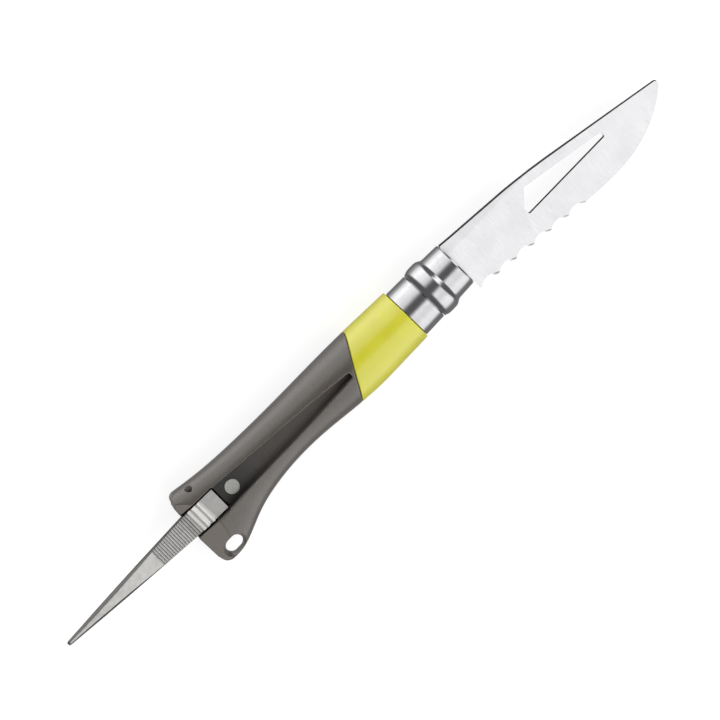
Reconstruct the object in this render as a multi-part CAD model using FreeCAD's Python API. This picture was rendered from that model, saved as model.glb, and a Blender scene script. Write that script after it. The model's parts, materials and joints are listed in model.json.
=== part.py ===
import FreeCAD, Part
import math
import os

from FreeCAD import Vector

os.makedirs("parts", exist_ok=True)

# Lengths are in millimetres and angles in degrees. Everything is drawn about the blade's pivot
# station: X runs along the handle towards the blade's tip, Y = 0 is the handle's axis with the
# cutting edge on the -Y side, and Z is across the blade's thickness. The finished solids are moved
# once, at the end, so that the origin is the bottom centre of the whole box.

# Blade
BLADE_HALF = 1.0
PIVOT_Y = -1.5
TANG_REAR_R = 6.0
HEEL_X = 11.2
TANG_TOP = [(4.4, 4.8), (10.7, 6.7)]
HEEL_Y = -11.4
SPINE_POINTS = [(11.3, 8.0), (26.0, 6.6), (38.0, 5.5), (47.2, 4.3), (62.0, 1.7), (78.8, -1.5), (95.9, -4.76)]
BLADE_TIP = (96.87, -5.66)
BELLY_POINTS = [(96.44, -6.9), (91.5, -10.7), (85.1, -14.0), (78.0, -16.2), (70.0, -17.25), (61.0, -17.05)]
BELLY_POINTS += [(53.5, -16.4)]
KEY_CORNERS = [(38.6, -5.7), (72.8, -5.7), (72.8, -4.1), (43.2, 1.4), (38.6, -3.6)]
KEY_CORNER_R = 0.6
SCALLOP_COUNT = 6
SCALLOP_DEPTH = 0.95
SCALLOP_LAND = 0.5
SCALLOP_TILT = 50.0
GRIND_START_Y = 4.0
EDGE_Y = -17.25
EDGE_HALF = 0.16

# Fold joint hardware
RIVET_R = 2.0
RIVET_CLEARANCE = 0.05
RIVET_RECESS = 0.25
FERRULE_REAR_X = -11.5
FERRULE_FRONT_X = 10.7
FERRULE_REAR_R = 9.05
FERRULE_FRONT_R = 8.9
FERRULE_STEP_X = -3.4
FERRULE_NECK_R = 7.75
FERRULE_BORE_R = 7.0
FERRULE_CHAMFER = 0.2
RIDGE_R = 8.85
RIDGE_HALF_LENGTH = 1.0
RING_FRONT_X = 10.9
RING_NOSE_R = 8.05
# Outside of the ring from its rear lip over the barrel to the nose, as (x, radius)
RING_OUTSIDE = [(-3.2, 8.98), (-2.7, 9.14), (-2.1, 9.38), (-1.4, 9.54), (-0.6, 9.6), (1.2, 9.6), (2.1, 9.5)]
RING_OUTSIDE += [(2.8, 9.22), (3.3, 8.9), (3.8, 8.64), (4.6, 8.5), (6.5, 8.42), (8.5, 8.34), (10.4, 8.25)]
# Inside of the ring from its nose to its rear lip, as (x, radius)
RING_INSIDE = [(10.9, 7.83), (3.2, 7.83), (2.4, 8.94), (-2.2, 8.94), (-3.2, 8.75)]
RING_GAP_HALF = 1.3
RING_CORNER_R = 1.3

# Handle
# (x, low y, high y, half thickness, squareness of the section)
HANDLE_SECTIONS = [
    (-11.6, -9.6, 10.0, 9.8, 2.0),
    (-22.0, -9.75, 10.5, 10.2, 2.0),
    (-32.0, -9.75, 10.9, 10.2, 2.05),
    (-44.0, -8.75, 11.1, 9.8, 2.1),
    (-56.0, -7.3, 11.15, 9.1, 2.2),
    (-67.0, -6.85, 11.3, 8.5, 2.3),
    (-78.0, -7.7, 11.7, 8.0, 2.4),
    (-88.0, -10.0, 12.35, 7.7, 2.5),
    (-95.0, -12.75, 13.15, 7.5, 2.6),
    (-101.5, -14.5, 14.2, 7.3, 2.7),
    (-110.0, -15.0, 15.2, 7.2, 2.7),
]
SECTION_SAMPLES = 28
REST_LAND_Z = -9.8
BUTT_END_TOP = (-106.2, 14.0)
BUTT_END_MID = (-107.8, -1.9)
BUTT_END_LOW_X = -107.6
BUTT_TOP_CENTRE = (-103.0, 11.4)
BUTT_TOP_R = 3.0
BUTT_LOW_CENTRE = (-103.1, -10.1)
BUTT_LOW_R = 4.5
FACET_START_X = -99.6
FACET_END_HALF = 4.3
SLEEVE_EDGE_MID = (-36.6, 0.0)
SLEEVE_EDGE_ANGLE = 60.3
SLEEVE_EDGE_R = 84.0
SLEEVE_GAP = 0.12
LANYARD_CENTRE = (-101.3, -11.3)
LANYARD_LENGTH = 6.4
LANYARD_WIDTH = 4.6
LANYARD_WALL_HALF = 1.6
LANYARD_FLARE = 0.25

# Core and blade slot
CORE_INSET = 1.8
CORE_LOW_Z = -3.4
CORE_REAR_X = -105.2
CORE_CORNER_DROP = 3.0
CORE_SHELF_Y = -6.4
CORE_BOSS_REAR_X = -26.0
SLOT_HALF = 1.15
SLOT_CLEARANCE = 0.6
SLOT_TANG_GAP = 0.84
SLOT_HEEL_GAP = 0.96
SLOT_BELLY_LAG = 0.24
BLADE_CLOSED_DEG = 174.0

# Spike, measured along s from its hinge
SPIKE_PIVOT = (-99.05, 3.5, 3.9)
SPIKE_SLANT = 1.8
SPIKE_TAIL_S = -5.06
SPIKE_GRIP_S = 5.7
# (s, full width, full thickness, width of the bevel along the four long corners)
SPIKE_SECTIONS = [
    (5.6, 8.1, 2.9, 0.15),
    (12.0, 7.4, 2.9, 0.15),
    (22.8, 6.3, 2.9, 0.3),
    (30.0, 5.65, 2.85, 0.6),
    (37.3, 4.9, 2.8, 0.85),
    (46.8, 3.7, 2.6, 0.9),
    (54.0, 2.6, 2.1, 0.75),
    (60.6, 1.6, 1.5, 0.45),
    (61.4, 1.1, 1.0, 0.3),
]
SPIKE_BEVEL_STEEPNESS = 1.3
SPIKE_TAIL_WIDTH = 8.2
SPIKE_HALF = 1.45
RIB_POSITIONS = [1.3, 3.5]
RIB_R = 1.1
RIB_SINK = 0.7
GRIP_GROOVES = 18
GRIP_PITCH = 0.93
GRIP_GROOVE_R = 0.33
GRIP_GROOVE_DEPTH = 0.16
PIN_R = 0.8
PIN_CLEARANCE = 0.05
PIN_LOW = -8.0
PIN_HIGH = 6.8
PIN_MOUTH_R = 1.0
HINGE_SIDE_GAP = 0.6
CHANNEL_SIDE_GAP = 0.35
CHANNEL_TIP_GAP = 0.6
CHANNEL_TIP_HALF = 1.0
CHANNEL_DEPTH = 1.8
CHANNEL_RISE = 3.0
LINER_WALL = 0.6
LINER_FOOT = 5.0
LINER_RISE = 3.3
CORE_HIGH_Z = 2.1
WELL_R = 5.75
SPRING_TOP_Z = -1.95
SPRING_THICKNESS = 0.3
SPRING_WIDTH = 6.15
SPRING_GAP = 0.1
# Magnet's place in the channel, as (s, offset from the channel's middle)
MAGNET_PLACE = (10.2, -0.7)
MAGNET_R = 2.5
MAGNET_THICKNESS = 1.0
MAGNET_PROUD = 0.15
MAGNET_CHAMFER = 0.1

FAR = 40.0
Z_AXIS = Vector(0, 0, 1)
X_AXIS = Vector(1, 0, 0)


def spots(pairs, z=0.0):
    """Points of an outline drawn at height z."""
    return [Vector(x, y, z) for x, y in pairs]


def smooth(pairs, z=0.0):
    """One smooth edge through the points of an outline."""
    line = Part.BSplineCurve()
    line.interpolate(spots(pairs, z))
    return line.toShape()


def chain(pairs, z=0.0):
    """Straight edges from point to point."""
    return Part.makePolygon(spots(pairs, z)).Edges


def slab(edges, low, high):
    """Solid over a closed outline drawn at height low, up to height high."""
    return Part.Face(Part.Wire(edges)).extrude(Vector(0, 0, high - low))


def prism(corners, low, high):
    """Solid over a closed polygon, from height low to height high."""
    return slab(chain(corners + corners[:1], low), low, high)


def side_prism(corners, low_y, high_y):
    """Solid over a closed polygon of (x, z) corners, from low_y to high_y."""
    ring = [Vector(x, low_y, z) for x, z in corners + corners[:1]]
    return Part.Face(Part.makePolygon(ring)).extrude(Vector(0, high_y - low_y, 0))


def turned(profile):
    """Solid of revolution about the X axis from a closed (x, r) profile."""
    ring = [Vector(x, r, 0) for x, r in profile + profile[:1]]
    return Part.Face(Part.makePolygon(ring)).revolve(Vector(0, 0, 0), X_AXIS, 360)


def edges_by(shape, test):
    """Edges whose centre passes the test."""
    return [edge for edge in shape.Edges if test(edge.CenterOfMass)]


def closed_spot(x, y):
    """Where a point of the open blade lies once the blade is folded."""
    turn = math.radians(-BLADE_CLOSED_DEG)
    dy = y - PIVOT_Y
    return (x * math.cos(turn) - dy * math.sin(turn), PIVOT_Y + x * math.sin(turn) + dy * math.cos(turn))


def blade_outline():
    """Edges of the blade's outline, with its tang, before the serrations."""
    z = -BLADE_HALF
    low = PIVOT_Y - TANG_REAR_R
    high = PIVOT_Y + TANG_REAR_R
    heel = (HEEL_X, HEEL_Y)
    tip = Part.Arc(*spots([SPINE_POINTS[-1], BLADE_TIP, BELLY_POINTS[0]], z)).toShape()
    rear = Part.Arc(*spots([(0, low), (-TANG_REAR_R, PIVOT_Y), (0, high)], z)).toShape()
    under = chain([BELLY_POINTS[-1], heel, (HEEL_X, low), (0, low)], z)
    over = chain([(0, high)] + TANG_TOP + SPINE_POINTS[:1], z)
    return [smooth(SPINE_POINTS, z), tip, smooth(BELLY_POINTS, z)] + under + [rear] + over


def key_cutout():
    """Tapered opening for shackle keys, with rounded corners."""
    block = prism(KEY_CORNERS, -FAR, FAR)
    upright = [edge for edge in block.Edges if edge.Length > FAR]
    return block.makeFillet(KEY_CORNER_R, upright)


def scallop(start, end):
    """Hollow of one serration, ground on the slant so that it is wider on the +Z face."""
    run = math.hypot(end[0] - start[0], end[1] - start[1]) - SCALLOP_LAND
    squash = math.cos(math.radians(SCALLOP_TILT))
    rise = SCALLOP_DEPTH * squash
    radius = (run * run / 4 + rise * rise) / (2 * rise)
    centre = Vector((start[0] + end[0]) / 2, (start[1] + end[1]) / 2 - radius / squash + SCALLOP_DEPTH, 0)
    wheel = Part.makeCylinder(radius, 2 * FAR, Vector(0, 0, -FAR), Z_AXIS)
    wheel.rotate(Vector(0, 0, 0), X_AXIS, -SCALLOP_TILT)
    wheel.translate(centre)
    return wheel


def grind(side):
    """Waste of the long flat grind on one face, from below the spine to the edge."""
    slope = (BLADE_HALF - EDGE_HALF) / (GRIND_START_Y - EDGE_Y)
    low_z = BLADE_HALF - slope * (GRIND_START_Y + FAR)
    corners = [(GRIND_START_Y, BLADE_HALF), (-FAR, low_z), (-FAR, FAR), (GRIND_START_Y, FAR)]
    ring = [Vector(HEEL_X, y, side * z) for y, z in corners + corners[:1]]
    return Part.Face(Part.makePolygon(ring)).extrude(Vector(3 * FAR, 0, 0))


def blade():
    """Blade with its tang, key opening, serrations and grinds."""
    body = slab(blade_outline(), -BLADE_HALF, BLADE_HALF)
    waste = [key_cutout(), grind(1), grind(-1)]
    heel = (HEEL_X, HEEL_Y)
    last = BELLY_POINTS[-1]
    step_x = (last[0] - heel[0]) / SCALLOP_COUNT
    step_y = (last[1] - heel[1]) / SCALLOP_COUNT
    for i in range(SCALLOP_COUNT):
        start = (heel[0] + i * step_x, heel[1] + i * step_y)
        waste.append(scallop(start, (start[0] + step_x, start[1] + step_y)))
    bore_r = RIVET_R + RIVET_CLEARANCE
    waste.append(Part.makeCylinder(bore_r, 2 * FAR, Vector(0, PIVOT_Y, -FAR), Z_AXIS))
    return body.cut(waste)


def slot():
    """Space the blade needs from open to folded, open along the handle's low edge."""
    nose = closed_spot(*BLADE_TIP)
    end_x = nose[0] - SLOT_CLEARANCE
    heel = closed_spot(HEEL_X, HEEL_Y)
    mouth_y = FERRULE_BORE_R + SLOT_CLEARANCE
    tang_roof = PIVOT_Y + TANG_REAR_R + SLOT_TANG_GAP
    step_x = heel[0] + SLOT_HEEL_GAP
    roof = [(FAR, mouth_y), (FERRULE_FRONT_X, mouth_y), (TANG_TOP[0][0], tang_roof)]
    roof += [(step_x, tang_roof), (step_x, heel[1] + SLOT_CLEARANCE)]
    for spot in reversed(BELLY_POINTS):
        x, y = closed_spot(*spot)
        roof.append((x - SLOT_BELLY_LAG, y + SLOT_CLEARANCE))
    end = [(end_x, nose[1]), (end_x, -FAR), (FAR, -FAR)]
    return prism(roof + end, -SLOT_HALF, SLOT_HALF)


def section(x, low, high, half, power):
    """Closed curve of one cross-section of the handle, starting at its lowest Z."""
    middle = (low + high) / 2
    reach = (high - low) / 2
    ring = []
    for i in range(SECTION_SAMPLES):
        turn = 2 * math.pi * (i / SECTION_SAMPLES - 0.25)
        c = math.cos(turn)
        s = math.sin(turn)
        y = middle + reach * math.copysign(abs(c) ** (2 / power), c)
        z = half * math.copysign(abs(s) ** (2 / power), s)
        ring.append(Vector(x, y, z))
    line = Part.BSplineCurve()
    line.interpolate(ring, PeriodicFlag=True)
    return Part.Wire(line.toShape())


def facet(side):
    """Waste of the flat facet that thins the butt on one face."""
    crown = HANDLE_SECTIONS[-2][3]
    slope = (crown - FACET_END_HALF) / (FACET_START_X - BUTT_END_MID[0])
    far_z = crown - slope * (FACET_START_X + 3 * FAR)
    corners = [(FACET_START_X, crown), (-3 * FAR, far_z), (-3 * FAR, FAR), (FACET_START_X, FAR)]
    return side_prism([(x, side * z) for x, z in corners], -FAR, FAR)


def butt_corner(centre, radius, side):
    """Waste outside one rounded corner of the butt, on the +Y or the -Y side."""
    x, y = centre
    block = Part.makeBox(FAR, FAR, 2 * FAR, Vector(x - FAR, y if side > 0 else y - FAR, -FAR))
    return block.cut(Part.makeCylinder(radius, 2 * FAR, Vector(x, y, -FAR), Z_AXIS))


def envelope():
    """Whole outer form of the handle, solid, with the narrow land on its back that it rests on."""
    form = Part.makeLoft([section(*row) for row in HANDLE_SECTIONS], True, False)
    lean = (BUTT_END_TOP[0] - BUTT_END_MID[0]) / (BUTT_END_TOP[1] - BUTT_END_MID[1])
    top = (BUTT_END_MID[0] + lean * (FAR - BUTT_END_MID[1]), FAR)
    end = prism([(FAR, FAR), top, BUTT_END_MID, (BUTT_END_LOW_X, -FAR), (FAR, -FAR)], -FAR, FAR)
    form = form.common(end).cut([facet(1), facet(-1)])
    corners = [butt_corner(BUTT_TOP_CENTRE, BUTT_TOP_R, 1), butt_corner(BUTT_LOW_CENTRE, BUTT_LOW_R, -1)]
    below_land = Part.makeBox(4 * FAR, 2 * FAR, FAR, Vector(-3 * FAR, -FAR, REST_LAND_Z - FAR))
    return form.cut(corners + [below_land])


def spike_place(shape):
    """Move a solid drawn along +X from the hinge to the spike's own place, pointing back."""
    shape.rotate(Vector(0, 0, 0), Z_AXIS, 180 - SPIKE_SLANT)
    shape.translate(Vector(*SPIKE_PIVOT))
    return shape


def stowed_place(shape):
    """Move a solid drawn along +X from the hinge to where the folded spike lies, rising to its point."""
    shape.rotate(Vector(0, 0, 0), Vector(0, 1, 0), -CHANNEL_RISE)
    shape.rotate(Vector(0, 0, 0), Z_AXIS, -SPIKE_SLANT)
    shape.translate(Vector(*SPIKE_PIVOT))
    return shape


def channel_block(wall, low, high):
    """Tapered block over the folded spike, wider than the channel by wall."""
    gap = CHANNEL_SIDE_GAP + wall
    rows = [(s, width / 2 + gap) for s, width, thick, bevel in SPIKE_SECTIONS[:-2]]
    rows.append((SPIKE_SECTIONS[-1][0] + CHANNEL_TIP_GAP + wall, CHANNEL_TIP_HALF + wall))
    return stowed_place(prism(rows + [(s, -w) for s, w in reversed(rows)], low, high))


def channel():
    """Channel that the spike stows in, open at the top, wider at the hinge and through the butt."""
    end_s = SPIKE_SECTIONS[0][0]
    half = SPIKE_TAIL_WIDTH / 2 + HINGE_SIDE_GAP
    base = Vector(-FAR, -half, -CHANNEL_DEPTH)
    yard = stowed_place(Part.makeBox(FAR + end_s, 2 * half, FAR, base))
    return channel_block(0, -CHANNEL_DEPTH, FAR).fuse(yard).removeSplitter()


def liner():
    """Raised tray of the core that walls and floors the channel."""
    return channel_block(LINER_WALL, -CHANNEL_DEPTH - LINER_FOOT, LINER_RISE - CHANNEL_DEPTH)


def hinge_bar(radius, low, high):
    """Cylinder on the spike's hinge axis, between two distances from the spike's middle."""
    bar = Part.makeCylinder(radius, high - low, Vector(0, low, 0), Vector(0, 1, 0))
    bar.rotate(Vector(0, 0, 0), Z_AXIS, -SPIKE_SLANT)
    bar.translate(Vector(*SPIKE_PIVOT))
    return bar


def well():
    """Round well under the hinge, for the tail's swing."""
    half = SPIKE_TAIL_WIDTH / 2 + HINGE_SIDE_GAP
    return hinge_bar(WELL_R, -half, half)


def spring_seat(gap):
    """Flat space of the detent spring below the well, wider by gap."""
    length = 2 * abs(SPIKE_TAIL_S) + 2 * gap
    width = SPRING_WIDTH + 2 * gap
    x, y, z = SPIKE_PIVOT
    base = Vector(x - length / 2, y - width / 2, SPRING_TOP_Z - SPRING_THICKNESS - gap)
    return Part.makeBox(length, width, SPRING_THICKNESS + gap, base)


def core_outline():
    """Edges of the core's slab: the handle's outline, drawn in, and stopping short of the lanyard hole."""
    high = [(x, top - CORE_INSET) for x, low, top, half, power in HANDLE_SECTIONS[1:-1]]
    low = [(x, low + CORE_INSET) for x, low, top, half, power in HANDLE_SECTIONS[1:-2]]
    z = CORE_LOW_Z
    end = [high[-1], (CORE_REAR_X, high[-1][1] - CORE_CORNER_DROP), (CORE_REAR_X, CORE_SHELF_Y)]
    end += [(low[-1][0], CORE_SHELF_Y), low[-1]]
    return [smooth(high, z)] + chain(end, z) + [smooth(low[::-1], z)] + chain([low[0], high[0]], z)


def core_form():
    """Core before its hollows are cut: a flat spine, the channel's tray and a boss for the ferrule."""
    flat = slab(core_outline(), CORE_LOW_Z, CORE_HIGH_Z)
    length = FERRULE_FRONT_X - CORE_BOSS_REAR_X
    boss = Part.makeCylinder(FERRULE_BORE_R, length, Vector(CORE_BOSS_REAR_X, 0, 0), X_AXIS)
    return flat.fuse([boss, liner()]).removeSplitter()


def magnet():
    """Disc let into the channel's floor."""
    low = MAGNET_PROUD - CHANNEL_DEPTH - MAGNET_THICKNESS
    disc = Part.makeCylinder(MAGNET_R, MAGNET_THICKNESS, Vector(*MAGNET_PLACE, low), Z_AXIS)
    rim = edges_by(disc, lambda c: c.z > -CHANNEL_DEPTH)
    return stowed_place(disc.makeChamfer(MAGNET_CHAMFER, rim))


def rivet():
    """Cross rivet of the blade, flush with the ferrule's neck."""
    half = FERRULE_NECK_R - RIVET_RECESS
    return Part.makeCylinder(RIVET_R, 2 * half, Vector(0, PIVOT_Y, -half), Z_AXIS)


def rivet_bore():
    """Hole that the rivet is pressed into, right through."""
    return Part.makeCylinder(RIVET_R, 2 * FAR, Vector(0, PIVOT_Y, -FAR), Z_AXIS)


def ferrule():
    """Fixed collar: a visible band, and a neck with a ridge that runs on under the ring."""
    profile = [
        (FERRULE_REAR_X, FERRULE_BORE_R),
        (FERRULE_REAR_X, FERRULE_REAR_R - FERRULE_CHAMFER),
        (FERRULE_REAR_X + FERRULE_CHAMFER, FERRULE_REAR_R),
        (FERRULE_STEP_X - FERRULE_CHAMFER, FERRULE_FRONT_R),
        (FERRULE_STEP_X, FERRULE_FRONT_R - FERRULE_CHAMFER),
        (FERRULE_STEP_X, FERRULE_NECK_R),
        (-2 * RIDGE_HALF_LENGTH, FERRULE_NECK_R),
        (-RIDGE_HALF_LENGTH, RIDGE_R),
        (RIDGE_HALF_LENGTH, RIDGE_R),
        (2 * RIDGE_HALF_LENGTH, FERRULE_NECK_R),
        (FERRULE_FRONT_X, FERRULE_NECK_R),
        (FERRULE_FRONT_X, FERRULE_BORE_R),
    ]
    gap = Part.makeBox(2 * FAR, FAR, 2 * RING_GAP_HALF, Vector(-FAR, -FAR, -RING_GAP_HALF))
    return turned(profile).cut([gap, rivet_bore()])


def lock_ring():
    """Turning ring: a barrel over the ferrule's ridge, a tapered tube and a slot along one side."""
    inside = chain(RING_OUTSIDE[-1:] + [(RING_FRONT_X, RING_NOSE_R)] + RING_INSIDE + RING_OUTSIDE[:1])
    half = Part.Face(Part.Wire([smooth(RING_OUTSIDE)] + inside))
    body = half.revolve(Vector(0, 0, 0), X_AXIS, 360)
    gap = Part.makeBox(2 * FAR, FAR, 2 * RING_GAP_HALF, Vector(-FAR, -FAR, -RING_GAP_HALF))
    corner = Part.makeBox(RING_CORNER_R, FAR, RING_CORNER_R)
    round_off = corner.cut(Part.makeCylinder(RING_CORNER_R, FAR, Vector(0, 0, 0), Vector(0, 1, 0)))
    upper = round_off.copy()
    upper.rotate(Vector(0, 0, 0), Vector(0, 1, 0), 90)
    upper.translate(Vector(RING_FRONT_X - RING_CORNER_R, -FAR, RING_GAP_HALF + RING_CORNER_R))
    lower = upper.mirror(Vector(0, 0, 0), Z_AXIS)
    return body.cut([gap, upper, lower])


def octagon(s, width, thick, bevel):
    """Cross-section of the spike at s: a rectangle with steeply bevelled corners."""
    w = width / 2
    t = thick / 2
    land = t - bevel * SPIKE_BEVEL_STEEPNESS
    ring = [(w, -land), (w, land), (w - bevel, t), (bevel - w, t)]
    ring += [(-a, -b) for a, b in ring]
    corners = [Vector(s, y, z) for y, z in ring]
    return Part.makePolygon(corners + corners[:1])


def grip_grooves():
    """Fine cross grooves on both faces of the grip."""
    cuts = []
    depth_z = SPIKE_HALF + GRIP_GROOVE_R - GRIP_GROOVE_DEPTH
    for i in range(GRIP_GROOVES):
        s = SPIKE_GRIP_S + (i + 0.5) * GRIP_PITCH
        for side in (1, -1):
            start = Vector(s, -SPIKE_TAIL_WIDTH, side * depth_z)
            cuts.append(Part.makeCylinder(GRIP_GROOVE_R, 2 * SPIKE_TAIL_WIDTH, start, Vector(0, 1, 0)))
    return cuts


def spike():
    """Flat marlinspike with its hinge tail, cross ribs and grip."""
    blade_part = Part.makeLoft([octagon(*row) for row in SPIKE_SECTIONS], True, True)
    tail_half = SPIKE_TAIL_WIDTH / 2
    length = SPIKE_SECTIONS[0][0] - SPIKE_TAIL_S
    tail = Part.makeBox(length, 2 * tail_half, 2 * SPIKE_HALF, Vector(SPIKE_TAIL_S, -tail_half, -SPIKE_HALF))
    ribs = []
    for s in RIB_POSITIONS:
        for side in (1, -1):
            start = Vector(s, -tail_half, side * (SPIKE_HALF - RIB_SINK))
            ribs.append(Part.makeCylinder(RIB_R, 2 * tail_half, start, Vector(0, 1, 0)))
    body = tail.fuse([blade_part] + ribs).removeSplitter()
    bore = Part.makeCylinder(PIN_R + PIN_CLEARANCE, 2 * FAR, Vector(0, -FAR, 0), Vector(0, 1, 0))
    return spike_place(body.cut(grip_grooves() + [bore]))


def detent_spring():
    """Thin leaf below the tail, drawn pressed down out of the tail's swing."""
    return spring_seat(0.0)


def lanyard_half(side):
    """One half of the lanyard hole, with a flare that opens it towards its face."""
    x, y = LANYARD_CENTRE
    r = LANYARD_WIDTH / 2
    reach = (LANYARD_LENGTH - LANYARD_WIDTH) / 2
    depth = FAR / 2
    wide = r + LANYARD_FLARE * depth
    bodies = []
    for end in (x - reach, x + reach):
        bodies.append(Part.makeCylinder(r, LANYARD_WALL_HALF, Vector(end, y, 0), Z_AXIS))
        bodies.append(Part.makeCone(r, wide, depth, Vector(end, y, LANYARD_WALL_HALF), Z_AXIS))
    high = LANYARD_WALL_HALF + depth
    corners = [(-r, 0), (r, 0), (r, LANYARD_WALL_HALF), (wide, high), (-wide, high), (-r, LANYARD_WALL_HALF)]
    ring = [Vector(x - reach, y + w, z) for w, z in corners + corners[:1]]
    middle = Part.Face(Part.makePolygon(ring)).extrude(Vector(2 * reach, 0, 0))
    half = middle.fuse(bodies).removeSplitter()
    return half if side > 0 else half.mirror(Vector(0, 0, 0), Z_AXIS)


def lanyard_hole():
    """Oval hole through the thin corner of the butt, flared at both faces."""
    return lanyard_half(1).fuse(lanyard_half(-1))


def sleeve_zone(radius):
    """Round-ended zone in front of the slanted joint line between sleeve and grip."""
    lean = math.radians(SLEEVE_EDGE_ANGLE)
    x = SLEEVE_EDGE_MID[0] + SLEEVE_EDGE_R * math.sin(lean)
    y = SLEEVE_EDGE_MID[1] - SLEEVE_EDGE_R * math.cos(lean)
    return Part.makeCylinder(radius, 2 * FAR, Vector(x, y, -FAR), Z_AXIS)


def build():
    """All the pieces by name, drawn about the blade's pivot station."""
    core_blank = core_form()
    form = envelope()
    hollows = [slot(), channel(), well(), spring_seat(SPRING_GAP)]
    pin_low = hinge_bar(PIN_R, PIN_LOW, PIN_HIGH)
    mouth = hinge_bar(PIN_MOUTH_R, PIN_HIGH, FAR)
    shell_waste = [core_blank] + hollows + [pin_low, mouth, lanyard_hole()]
    grip = form.cut([sleeve_zone(SLEEVE_EDGE_R)] + shell_waste)
    sleeve = form.common(sleeve_zone(SLEEVE_EDGE_R - SLEEVE_GAP)).cut(shell_waste)
    return {
        "blade": blade(),
        "blade_rivet": rivet(),
        "ferrule": ferrule(),
        "lock_ring": lock_ring(),
        "handle_core": core_blank.cut(hollows + [magnet(), rivet_bore()]),
        "handle_body": grip,
        "front_sleeve": sleeve,
        "cradle_magnet": magnet(),
        "spike": spike(),
        "spike_hinge_pin": pin_low,
        "detent_spring": detent_spring(),
    }


def export(pieces):
    """Move the origin to the bottom centre of the whole box and write each piece."""
    box = Part.makeCompound(list(pieces.values())).optimalBoundingBox(False, False)
    shift = Vector(-box.Center.x, -box.Center.y, -box.ZMin)
    for name, shape in pieces.items():
        shape.translate(shift)
        shape.exportStep("parts/" + name + ".step")
    print("origin moved by", shift)


export(build())
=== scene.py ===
import json
import math

import bmesh
import bpy
from mathutils import Matrix, Vector


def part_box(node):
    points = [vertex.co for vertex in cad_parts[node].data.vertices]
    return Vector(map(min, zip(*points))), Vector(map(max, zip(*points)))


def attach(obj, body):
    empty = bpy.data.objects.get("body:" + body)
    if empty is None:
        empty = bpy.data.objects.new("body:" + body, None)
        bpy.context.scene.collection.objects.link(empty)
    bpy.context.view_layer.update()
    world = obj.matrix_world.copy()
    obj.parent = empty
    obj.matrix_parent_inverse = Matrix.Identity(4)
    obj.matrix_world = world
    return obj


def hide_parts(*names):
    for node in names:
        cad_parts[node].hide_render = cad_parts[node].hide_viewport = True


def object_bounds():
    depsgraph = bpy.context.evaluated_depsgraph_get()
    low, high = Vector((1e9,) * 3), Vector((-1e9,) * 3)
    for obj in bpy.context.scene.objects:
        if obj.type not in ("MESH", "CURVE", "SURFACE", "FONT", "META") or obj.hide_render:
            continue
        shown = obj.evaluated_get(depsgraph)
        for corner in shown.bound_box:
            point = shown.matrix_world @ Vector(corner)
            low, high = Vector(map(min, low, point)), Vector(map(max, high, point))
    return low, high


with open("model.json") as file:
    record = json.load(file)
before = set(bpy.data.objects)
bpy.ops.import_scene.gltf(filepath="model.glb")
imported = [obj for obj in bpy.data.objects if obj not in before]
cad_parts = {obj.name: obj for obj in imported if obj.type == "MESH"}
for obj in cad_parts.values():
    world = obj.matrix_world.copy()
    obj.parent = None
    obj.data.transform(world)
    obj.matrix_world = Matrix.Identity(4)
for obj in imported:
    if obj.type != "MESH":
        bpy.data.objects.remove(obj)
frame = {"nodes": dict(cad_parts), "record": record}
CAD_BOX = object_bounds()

NODES = frame["nodes"]
MM = 0.001

# Camera: the angle of the picture plane and the framing of the 720 x 720 picture. The target is given
# from the front end of the ferrule's axis.
CAMERA_ROLL = 46.0
CAMERA_TILT = 13.0
CAMERA_DISTANCE = 1.5
CAMERA_TARGET = (-0.0427, 0.0005)
FRAME_WIDTH = 0.2278
SENSOR = 36.0
CLIP_START = 0.01

X, Y = 0, 1

# The hinge pin's lowest and highest x in metres, and the middle of the lanyard hole across the knife in mm
PIN_X = [corner[X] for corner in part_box("spike_hinge_pin")]
MOUNTS = {mount["name"]: mount["pos_m"] for mount in frame["record"]["mounts"]}
LANYARD_Y = MOUNTS["lanyard_hole"][Y] / MM

# Where the painted light and shade on a surface start and end, in mm: across the knife from the lanyard
# hole's middle, along it from the pin's high side, and along it from the pin's low side
HOLE_LIGHT_FADE = (2.9, 4.9)
CHANNEL_SHADE_FADE = (12.0, 20.0)
CHANNEL_LIGHT_FADE = (10.0, 55.0)
TAIL_FADE = (-9.0, -5.0)
RIBS_START = (-5.0, -4.0)
RIBS_END = (0.2, 1.2)
MARKED_SHADE = 0.86


def linear(r, g, b):
    """Linear colour from 0-255 display values."""
    def one(v):
        v = v / 255
        return v / 12.92 if v <= 0.04045 else ((v + 0.055) / 1.055) ** 2.4
    return (one(r), one(g), one(b), 1.0)


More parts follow.
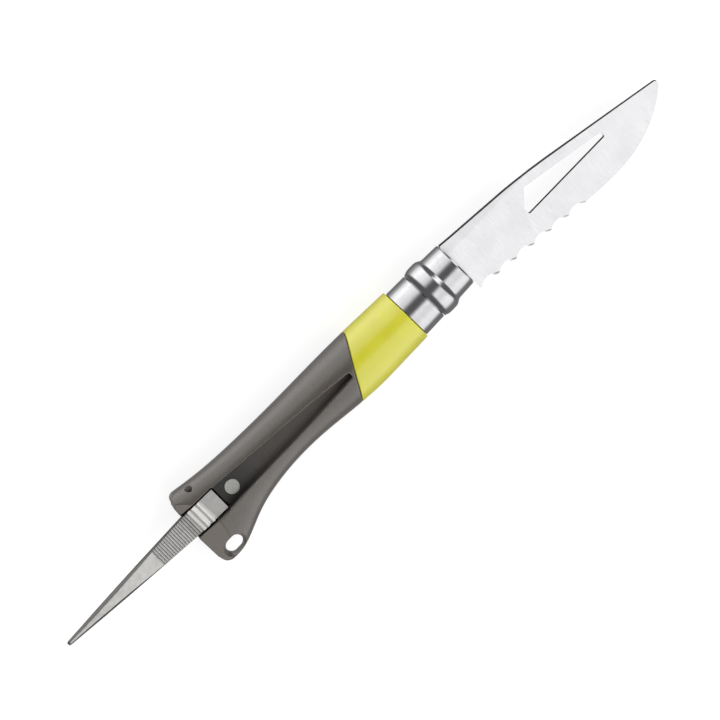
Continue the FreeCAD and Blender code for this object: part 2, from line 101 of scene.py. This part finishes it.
class Paint:
    """One procedural material, built from a few short node calls. Lengths are in millimetres."""

    def __init__(self, name, metallic=0.0, roughness=0.5, **sockets):
        self.material = bpy.data.materials.new(name)
        self.material.use_nodes = True
        self.tree = self.material.node_tree
        self.tree.nodes.clear()
        out = self.node("ShaderNodeOutputMaterial")
        self.bsdf = self.node("ShaderNodeBsdfPrincipled")
        self.link(self.bsdf.outputs[0], out.inputs["Surface"])
        self.set(metallic=metallic, roughness=roughness, **sockets)
        self.coords = self.node("ShaderNodeTexCoord").outputs["Object"]
        self.height = None

    def node(self, kind, **values):
        made = self.tree.nodes.new(kind)
        for key, value in values.items():
            setattr(made, key, value)
        return made

    def link(self, a, b):
        self.tree.links.new(a, b)

    def feed(self, socket, value):
        """Set a socket to a number or colour, or link another socket to it."""
        if isinstance(value, bpy.types.NodeSocket):
            self.link(value, socket)
        else:
            socket.default_value = value

    def set(self, **sockets):
        """Feed the main shader's sockets, named in lower case with underscores."""
        for key, value in sockets.items():
            self.feed(self.bsdf.inputs[key.replace("_", " ").title().replace("Ior", "IOR")], value)

    def place(self, stretch=(1, 1, 1), shift=(0, 0, 0), turn=(0, 0, 0)):
        """Coordinates in millimetres, divided by stretch along each axis, and moved and turned (degrees)."""
        mapping = self.node("ShaderNodeMapping")
        mapping.inputs["Location"].default_value = shift
        mapping.inputs["Rotation"].default_value = [math.radians(a) for a in turn]
        mapping.inputs["Scale"].default_value = [1 / (MM * s) for s in stretch]
        self.link(self.coords, mapping.inputs["Vector"])
        return mapping.outputs[0]

    def noise(self, size, detail=2.0, rough=0.5, distortion=0.0, **placing):
        """Noise whose lumps are about size millimetres, placed as in place()."""
        made = self.node("ShaderNodeTexNoise")
        made.inputs["Scale"].default_value = 1 / size
        made.inputs["Detail"].default_value = detail
        made.inputs["Roughness"].default_value = rough
        made.inputs["Distortion"].default_value = distortion
        self.link(self.place(**placing), made.inputs["Vector"])
        return made.outputs["Fac"]

    def axis(self, which):
        """One coordinate in millimetres."""
        made = self.node("ShaderNodeSeparateXYZ")
        self.link(self.place(), made.inputs[0])
        return made.outputs[which]

    def normal(self, which):
        """One part of the surface's own direction, -1 to 1, in the frame of the knife at rest."""
        made = self.node("ShaderNodeSeparateXYZ")
        self.link(self.node("ShaderNodeTexCoord").outputs["Normal"], made.inputs[0])
        return made.outputs[which]

    def calc(self, kind, a, b=0.0):
        made = self.node("ShaderNodeMath", operation=kind)
        for socket, value in zip(made.inputs, (a, b)):
            self.feed(socket, value)
        return made.outputs[0]

    def span(self, value, low, high, out_low=0.0, out_high=1.0, smooth=False):
        """value taken from low..high to out_low..out_high, and held there."""
        made = self.node("ShaderNodeMapRange", interpolation_type="SMOOTHSTEP" if smooth else "LINEAR")
        for socket, number in zip(made.inputs, (value, low, high, out_low, out_high)):
            self.feed(socket, number)
        return made.outputs[0]

    def fade(self, value, start, reach, out_low=0.0, out_high=1.0):
        """span() between the two ends of reach, which are measured from start."""
        return self.span(value, start + reach[0], start + reach[1], out_low, out_high)

    def blend(self, fac, a, b):
        """Colour a where fac is 0, and colour b where it is 1."""
        made = self.node("ShaderNodeMix", data_type="RGBA")
        self.feed(made.inputs[0], fac)
        self.feed(made.inputs[6], a)
        self.feed(made.inputs[7], b)
        return made.outputs[2]

    def bump(self, height, depth):
        """Add relief: height 0..1 times depth in millimetres."""
        made = self.node("ShaderNodeBump")
        made.inputs["Strength"].default_value = 1.0
        made.inputs["Distance"].default_value = depth * MM
        self.link(height, made.inputs["Height"])
        if self.height is not None:
            self.link(self.height, made.inputs["Normal"])
        self.height = made.outputs[0]
        self.link(self.height, self.bsdf.inputs["Normal"])


def grip_paint():
    """Warm grey moulded polymer with a fine eroded grain, with painted light on the butt's end facet and on
    the lanyard hole's wall that faces +Y.
    """
    p = Paint("grip_grey", roughness=0.5, specular_ior_level=0.1, coat_weight=1.0, coat_roughness=0.3)
    grain = p.noise(0.2, detail=3.0, rough=0.6)
    cloud = p.noise(9.0, detail=3.0, rough=0.55)
    speck = p.noise(0.45, detail=2.0, rough=0.7, shift=(7, 3, 1))
    base = p.blend(p.span(cloud, 0.3, 0.7), linear(63, 58, 53), linear(71, 66, 60))
    base = p.blend(p.span(speck, 0.35, 0.75), base, linear(81, 75, 69))
    base = p.blend(p.span(grain, 0.6, 0.78), base, linear(46, 42, 38))
    # Painted light: faces turned towards the butt (-X) are paled half way, for the light the butt's end facet
    # catches.
    butt = p.span(p.normal(X), -0.12, -0.3, smooth=True)
    base = p.blend(butt, base, p.blend(0.5, base, linear(146, 140, 133)))
    # Painted light: the lanyard hole's wall that faces +Y is paled near the hole, standing in for light
    # reaching into it.
    facing_up = p.span(p.normal(Y), 0.5, 0.8)
    hole_wall_light = p.calc("MULTIPLY", facing_up, p.fade(p.axis(Y), LANYARD_Y, HOLE_LIGHT_FADE, 1, 0))
    base = p.blend(hole_wall_light, base, linear(176, 169, 161))
    p.set(base_color=base, roughness=p.span(grain, 0.3, 0.7, 0.44, 0.6))
    p.bump(grain, 0.035)
    p.bump(speck, 0.03)
    return p.material


def lime_paint():
    """Lime moulded polymer, satin."""
    p = Paint("sleeve_lime", roughness=0.42, specular_ior_level=0.5, coat_weight=0.6, coat_roughness=0.26)
    grain = p.noise(0.25, detail=2.0, rough=0.5)
    cloud = p.noise(7.0, detail=2.0, rough=0.5)
    base = p.blend(p.span(cloud, 0.3, 0.7), linear(192, 188, 22), linear(199, 195, 29))
    base = p.blend(p.span(grain, 0.6, 0.8), base, linear(184, 179, 24))
    p.set(base_color=base, roughness=p.span(cloud, 0.3, 0.7, 0.38, 0.46))
    p.bump(grain, 0.016)
    return p.material


def core_paint():
    """Black glass-filled polyamide with faint flow marks and scuffs, with painted shade near the hinge and
    painted light towards the channel's far end.
    """
    p = Paint("core_black", roughness=0.5, specular_ior_level=0.5)
    fibre = p.noise(0.3, detail=3.0, rough=0.7, stretch=(4, 1, 1))
    cloud = p.noise(6.0, detail=2.0, rough=0.5)
    scuff = p.noise(0.35, detail=4.0, rough=0.65, stretch=(16, 1, 1), turn=(0, 0, 2))
    base = p.blend(p.span(cloud, 0.3, 0.7), linear(37, 35, 33), linear(49, 47, 44))
    base = p.blend(p.span(fibre, 0.55, 0.75), base, linear(76, 73, 69))
    base = p.blend(p.span(scuff, 0.62, 0.8), base, linear(96, 92, 87))
    x = p.axis(X)
    pin = PIN_X[1] / MM
    # Painted shade: darkened near the hinge pin's high side, where the channel lies in shadow.
    base = p.blend(p.fade(x, pin, CHANNEL_SHADE_FADE, 1.0, 0.0), base, linear(20, 18, 17))
    # Painted light: paler along the channel towards its far end.
    base = p.blend(p.fade(x, pin, CHANNEL_LIGHT_FADE, 0.05, 0.95), base, linear(102, 95, 89))
    p.set(base_color=base, roughness=p.span(fibre, 0.3, 0.7, 0.42, 0.6))
    p.bump(fibre, 0.02)
    return p.material


def chrome_paint(name):
    """Polished stainless steel with fine turning lines and a few smudges."""
    p = Paint(name, metallic=1.0, roughness=0.18)
    lines = p.noise(0.12, detail=3.0, rough=0.6, stretch=(1, 60, 60))
    smudge = p.noise(3.5, detail=4.0, rough=0.6, distortion=0.6)
    base = p.blend(p.span(smudge, 0.35, 0.7), linear(150, 150, 152), linear(143, 143, 145))
    rough = p.calc("ADD", p.span(smudge, 0.4, 0.75, 0.15, 0.2), p.span(lines, 0.4, 0.7, 0.0, 0.05))
    p.set(base_color=base, roughness=rough)
    p.bump(lines, 0.0025)
    return p.material


def blade_paint():
    """Satin blade steel, brushed across the blade, with painted shade along the spine and a painted highlight
    in the scallops.
    """
    p = Paint("blade_steel", metallic=1.0, roughness=0.3)
    brush = p.noise(0.11, detail=3.0, rough=0.65, stretch=(1, 45, 45), turn=(0, 0, 3))
    cloud = p.noise(8.0, detail=3.0, rough=0.5)
    base = p.blend(p.span(cloud, 0.3, 0.7), linear(175, 175, 176), linear(168, 168, 170))
    base = p.blend(p.span(brush, 0.55, 0.8), base, linear(158, 159, 161))
    across = p.normal(Y)
    # Painted shade: faces turned towards +Y (the spine and the key opening's lower wall) are darkened to near
    # black.
    base = p.blend(p.span(across, 0.12, 0.35), base, linear(40, 40, 42))
    # Painted highlight: faces turned towards -Y, in the scallops, are paled to near white.
    base = p.blend(p.span(across, -0.2, -0.5), base, linear(245, 245, 246))
    p.set(base_color=base, roughness=p.span(brush, 0.3, 0.7, 0.26, 0.36))
    p.bump(brush, 0.004)
    return p.material


def spike_paint():
    """Tumbled and ground stainless steel: pale flats, a painted highlight on the cross ribs, and painted
    shade on the tail and the bevels.
    """
    p = Paint("spike_steel", metallic=1.0, roughness=0.35)
    grind = p.noise(0.14, detail=3.0, rough=0.6, stretch=(12, 1, 1), turn=(0, 0, 2))
    cloud = p.noise(1.6, detail=4.0, rough=0.65)
    base = p.blend(p.span(cloud, 0.35, 0.7), linear(166, 165, 163), linear(150, 149, 147))
    base = p.blend(p.span(grind, 0.55, 0.8), base, linear(134, 133, 131))
    x = p.axis(X)
    pin = PIN_X[0] / MM
    tail = p.fade(x, pin, TAIL_FADE)
    ribs = p.calc("MULTIPLY", p.fade(x, pin, RIBS_START), p.fade(x, pin, RIBS_END, 1, 0))
    # Painted shade: the spike's tail end, from the hinge on, is blended half way to dark grey.
    base = p.blend(p.calc("MULTIPLY", tail, 0.5), base, linear(92, 91, 89))
    # Painted highlight: the cross ribs are paled.
    base = p.blend(ribs, base, linear(206, 205, 202))
    # Painted shade: the bevels along both long edges, facing +Y or -Y, are darkened.
    bevel = p.span(p.calc("ABSOLUTE", p.normal(Y)), 0.15, 0.4, smooth=True)
    base = p.blend(bevel, base, linear(92, 91, 89))
    rough = p.calc("ADD", p.span(bevel, 0.0, 1.0, 0.34, 0.5), p.calc("MULTIPLY", ribs, 0.24))
    p.set(base_color=base, roughness=rough)
    p.bump(grind, 0.008)
    p.bump(cloud, 0.02)
    return p.material


def plain_steel(name, shade, roughness):
    """Small steel part, with light handling marks."""
    p = Paint(name, metallic=1.0, roughness=roughness)
    marks = p.noise(0.25, detail=3.0, rough=0.6)
    base = p.blend(p.span(marks, 0.35, 0.7), linear(*shade), linear(*[int(MARKED_SHADE * v) for v in shade]))
    p.set(base_color=base, roughness=p.span(marks, 0.3, 0.7, roughness - 0.05, roughness + 0.08))
    p.bump(marks, 0.006)
    return p.material


PAINTS = {
    "blade": blade_paint(),
    "blade_rivet": plain_steel("rivet_steel", (190, 190, 188), 0.3),
    "ferrule": chrome_paint("ferrule_chrome"),
    "lock_ring": chrome_paint("ring_chrome"),
    "handle_core": core_paint(),
    "handle_body": grip_paint(),
    "front_sleeve": lime_paint(),
    "cradle_magnet": plain_steel("magnet_nickel", (158, 158, 154), 0.42),
    "spike": spike_paint(),
    # Painted shade: the hinge pin is dark grey so that its end reads as the shade at the bottom of its hole.
    "spike_hinge_pin": plain_steel("pin_steel", (74, 72, 70), 0.35),
    "detent_spring": plain_steel("spring_steel", (150, 148, 140), 0.35),
}
for node, paint in PAINTS.items():
    mesh = NODES[node].data
    mesh.materials.clear()
    mesh.materials.append(paint)


WELD_MM = 0.002
MOST_FACES = 190000

# The flowing part of the softened spike: its reach along x from the hinge, how far in from the sides and down
# from the top it stays, in mm, and how many more times it is smoothed
FLOW_X = (-6.5, 1.6)
FLOW_EDGE = 0.5
FLOW_DEPTH = 1.1
FLOW_PASSES = 130

# eased() may break edges sharper than SHARP_ANGLE. Faces that meet at less than SMOOTH_ANGLE are shaded as
# one, and at less than COPLANAR_ANGLE they become one. Past FLAT_Z a face is flat, past BACK_Y it faces back.
SHARP_ANGLE = math.radians(50.0)
SMOOTH_ANGLE = math.radians(28.0)
COPLANAR_ANGLE = math.radians(1.0)
FLAT_Z = 0.9
BACK_Y = 0.5


def copy_of(node, suffix):
    """A free copy of a CAD node."""
    mesh = NODES[node].data.copy()
    mesh.name = node + suffix
    piece = bpy.data.objects.new(node + suffix, mesh)
    bpy.context.scene.collection.objects.link(piece)
    return piece, mesh


def applied(piece):
    """The piece's mesh after its modifiers are applied."""
    shown = piece.evaluated_get(bpy.context.evaluated_depsgraph_get())
    done = bpy.data.meshes.new_from_object(shown)
    piece.modifiers.clear()
    piece.data = done
    return done


def stand_in(piece, node, body):
    """Paint a finished copy and let it stand for its CAD node."""
    piece.data.materials.clear()
    piece.data.materials.append(PAINTS[node])
    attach(piece, body)
    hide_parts(node)


def let_flow(piece, between):
    """Smooth the upper middle of the piece further, between two x values."""
    vertices = piece.data.vertices
    group = piece.vertex_groups.new(name="flow")
    band = [v for v in vertices if between[0] < v.co.x < between[1]]
    low = min(v.co.y for v in band) + FLOW_EDGE * MM
    high = max(v.co.y for v in band) - FLOW_EDGE * MM
    top = max(v.co.z for v in band) - FLOW_DEPTH * MM
    inside = [v.index for v in band if low < v.co.y < high and v.co.z > top]
    group.add(inside, 1.0, "REPLACE")
    flow = piece.modifiers.new("flow", "SMOOTH")
    flow.factor = 0.5
    flow.iterations = FLOW_PASSES
    flow.vertex_group = "flow"


def softened(node, body, voxel, passes, flowing=None):
    """A copy of a moulded or tumbled CAD piece with its edges rounded over, and more so where it flows."""
    piece, mesh = copy_of(node, "_soft")
    weld = bmesh.new()
    weld.from_mesh(mesh)
    bmesh.ops.remove_doubles(weld, verts=weld.verts, dist=WELD_MM * MM)
    weld.to_mesh(mesh)
    weld.free()
    remesh = piece.modifiers.new("remesh", "REMESH")
    remesh.mode = "VOXEL"
    remesh.voxel_size = voxel * MM
    smooth = piece.modifiers.new("smooth", "SMOOTH")
    smooth.factor = 0.5
    smooth.iterations = passes
    done = applied(piece)
    if flowing:
        let_flow(piece, flowing)
    faces = len(done.polygons) * 2
    if faces > MOST_FACES:
        thin = piece.modifiers.new("thin", "DECIMATE")
        thin.ratio = MOST_FACES / faces
    for face in done.polygons:
        face.use_smooth = True
    stand_in(piece, node, body)


def eased(node, body, width, picked):
    """A copy of a hard CAD piece with the picked ones of its sharp edges broken by a narrow chamfer.

    picked is given the normals of an edge's two faces, the one that leans away from Z most first."""
    piece, mesh = copy_of(node, "_eased")
    if "custom_normal" in mesh.attributes:
        mesh.attributes.remove(mesh.attributes["custom_normal"])
    form = bmesh.new()
    form.from_mesh(mesh)
    bmesh.ops.remove_doubles(form, verts=form.verts, dist=WELD_MM * MM)
    bmesh.ops.dissolve_limit(form, angle_limit=COPLANAR_ANGLE, verts=form.verts, edges=form.edges)
    form.normal_update()
    weight = form.edges.layers.float.new("bevel_weight_edge")
    for edge in form.edges:
        if len(edge.link_faces) == 2 and edge.calc_face_angle() > SHARP_ANGLE:
            steep, flat = sorted((face.normal for face in edge.link_faces), key=lambda n: abs(n.z))
            if edge.is_convex and picked(steep, flat):
                edge[weight] = 1.0
    form.to_mesh(mesh)
    form.free()
    chamfer = piece.modifiers.new("chamfer", "BEVEL")
    chamfer.limit_method = "WEIGHT"
    chamfer.width = width * MM
    chamfer.segments = 2
    chamfer.use_clamp_overlap = False
    done = applied(piece)
    # The sharp edges are marked first, because marking them sets every face to smooth
    done.set_sharp_from_angle(angle=SMOOTH_ANGLE)
    for face in done.polygons:
        face.use_smooth = abs(face.normal.z) < FLAT_Z
    stand_in(piece, node, body)


def back_edge(steep, flat):
    """Edges of the blade's side faces where they meet the spine or the key opening's lower wall."""
    return steep.y > BACK_Y and abs(flat.z) > FLAT_Z


HINGE_X = (PIN_X[0] + PIN_X[1]) / 2
FLOWING = [HINGE_X + reach * MM for reach in FLOW_X]
eased("blade", "blade", width=0.3, picked=back_edge)
softened("handle_body", "handle", voxel=0.24, passes=5)
softened("front_sleeve", "handle", voxel=0.2, passes=4)
softened("spike", "spike", voxel=0.1, passes=3, flowing=FLOWING)


def look_along():
    """The camera's right, up and back directions."""
    tilt = math.radians(CAMERA_TILT)
    roll = math.radians(CAMERA_ROLL)
    along = Vector((1, 0, 0))
    across = Vector((0, math.cos(tilt), -math.sin(tilt)))
    back = Vector((0, math.sin(tilt), math.cos(tilt)))
    right = math.cos(roll) * along - math.sin(roll) * across
    up = math.sin(roll) * along + math.cos(roll) * across
    return right, up, back


def add_camera():
    right, up, back = look_along()
    low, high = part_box("ferrule")
    axis_y, axis_z = [(a + b) / 2 for a, b in zip(low[1:], high[1:])]
    target = Vector((high[0] + CAMERA_TARGET[0], axis_y + CAMERA_TARGET[1], axis_z))
    data = bpy.data.cameras.new("camera")
    data.sensor_width = SENSOR
    data.lens = SENSOR * CAMERA_DISTANCE / FRAME_WIDTH
    data.clip_start = CLIP_START
    camera = bpy.data.objects.new("camera", data)
    bpy.context.scene.collection.objects.link(camera)
    place = Matrix((right, up, back)).transposed().to_4x4()
    place.translation = target + CAMERA_DISTANCE * back
    camera.matrix_world = place
    bpy.context.scene.camera = camera


# Brightness round the knife's long axis, by angle in degrees from straight up towards +Y: the banks and the
# dark card round its middle, and the window beyond its blade
SKY_STOPS = [(-180, 0.3), (-135, 0.35), (-104, 0.45), (-84, 2.6), (-60, 2.8), (-38, 2.3), (-14, 2.6)]
SKY_STOPS += [(3, 0.26), (25, 0.26), (48, 2.3), (70, 2.8), (96, 3.5), (113, 2.7), (131, 1.0), (154, 0.35)]
WINDOW_STOPS = [(-180, 0.0), (-12, 0.0), (4, 3.0), (42, 3.0), (56, 0.0)]

# Where the banks fade out and the window fades in, by the x of a direction, and the level of the ends
SKY_MIDDLE = 0.13
SKY_REACH = (0.3, 0.47)
WINDOW_REACH = (0.55, 0.75)
SKY_ENDS = 0.28
WORLD_STRENGTH = 1.0
BACKDROP = 0.92

FLOOR_HALF = 4.0
FLOOR_DROP_MM = 0.05
FLOOR_TONES = [(0.3, 0.3, 0.3, 1), (0.31, 0.31, 0.31, 1)]
FLOOR_GLOW = 0.76


def add_world():
    """Soft studio light: white banks along both sides, a dark card above, a window beyond the blade and
    little below. The camera sees an even backdrop instead."""
    world = bpy.data.worlds.new("studio")
    bpy.context.scene.world = world
    world.use_nodes = True
    tree = world.node_tree
    tree.nodes.clear()

    def node(kind, *values, **settings):
        made = tree.nodes.new(kind)
        for key, value in settings.items():
            setattr(made, key, value)
        for socket, value in zip(made.inputs, values):
            if isinstance(value, bpy.types.NodeSocket):
                tree.links.new(value, socket)
            else:
                socket.default_value = value
        return made.outputs[0]

    def calc(kind, *values):
        return node("ShaderNodeMath", *values, operation=kind)

    def step(value, low, high):
        return node("ShaderNodeMapRange", value, low, high, 0.0, 1.0, interpolation_type="SMOOTHSTEP")

    def by_angle(stops):
        """Level at each angle, on a ramp scaled to hold levels above one."""
        most = max(level for angle, level in stops)
        made = tree.nodes.new("ShaderNodeValToRGB")
        tree.links.new(where, made.inputs[0])
        made.color_ramp.interpolation = "EASE"
        points = made.color_ramp.elements
        points[0].position = stops[0][0] / 360 + 0.5
        points[1].position = stops[1][0] / 360 + 0.5
        for angle, level in stops[2:]:
            points.new(angle / 360 + 0.5)
        for point, (angle, level) in zip(points, stops):
            point.color = (level / most, level / most, level / most, 1)
        return calc("MULTIPLY", made.outputs[0], most)

    coords = tree.nodes.new("ShaderNodeTexCoord")
    split = tree.nodes.new("ShaderNodeSeparateXYZ")
    tree.links.new(coords.outputs["Generated"], split.inputs[0])
    x, y, z = split.outputs
    where = calc("ADD", calc("DIVIDE", calc("ARCTAN2", y, z), 2 * math.pi), 0.5)
    ends = step(calc("ABSOLUTE", calc("SUBTRACT", x, SKY_MIDDLE)), *SKY_REACH)
    banks = calc("MULTIPLY", by_angle(SKY_STOPS), calc("SUBTRACT", 1.0, ends))
    window = calc("MULTIPLY", by_angle(WINDOW_STOPS), step(x, *WINDOW_REACH))
    level = calc("ADD", calc("ADD", banks, calc("MULTIPLY", ends, SKY_ENDS)), window)
    seen = tree.nodes.new("ShaderNodeLightPath").outputs["Is Camera Ray"]
    light = node("ShaderNodeBackground", level, WORLD_STRENGTH)
    backdrop = node("ShaderNodeBackground", (BACKDROP, BACKDROP, BACKDROP, 1), 1.0)
    out = tree.nodes.new("ShaderNodeOutputWorld")
    tree.links.new(node("ShaderNodeMixShader", seen, light, backdrop), out.inputs[0])


def add_floor():
    """Plain pale floor, which neither lights the knife nor shows in it."""
    z = CAD_BOX[0][2] - FLOOR_DROP_MM * MM
    far = FLOOR_HALF
    corners = [(-far, -far), (far, -far), (far, far), (-far, far)]
    mesh = bpy.data.meshes.new("floor")
    mesh.from_pydata([(x, y, z) for x, y in corners], [], [(0, 1, 2, 3)])
    floor = bpy.data.objects.new("floor", mesh)
    bpy.context.scene.collection.objects.link(floor)
    p = Paint("floor_paper", roughness=0.9)
    paper = p.noise(60.0, detail=2.0, rough=0.5)
    p.set(base_color=p.blend(paper, *FLOOR_TONES))
    p.set(emission_color=(1.0, 1.0, 1.0, 1.0), emission_strength=FLOOR_GLOW)
    mesh.materials.append(p.material)
    floor.visible_glossy = False
    floor.visible_diffuse = False


add_camera()
add_world()
add_floor()
bpy.context.scene.view_settings.view_transform = "Standard"
bpy.context.scene.view_settings.look = "None"
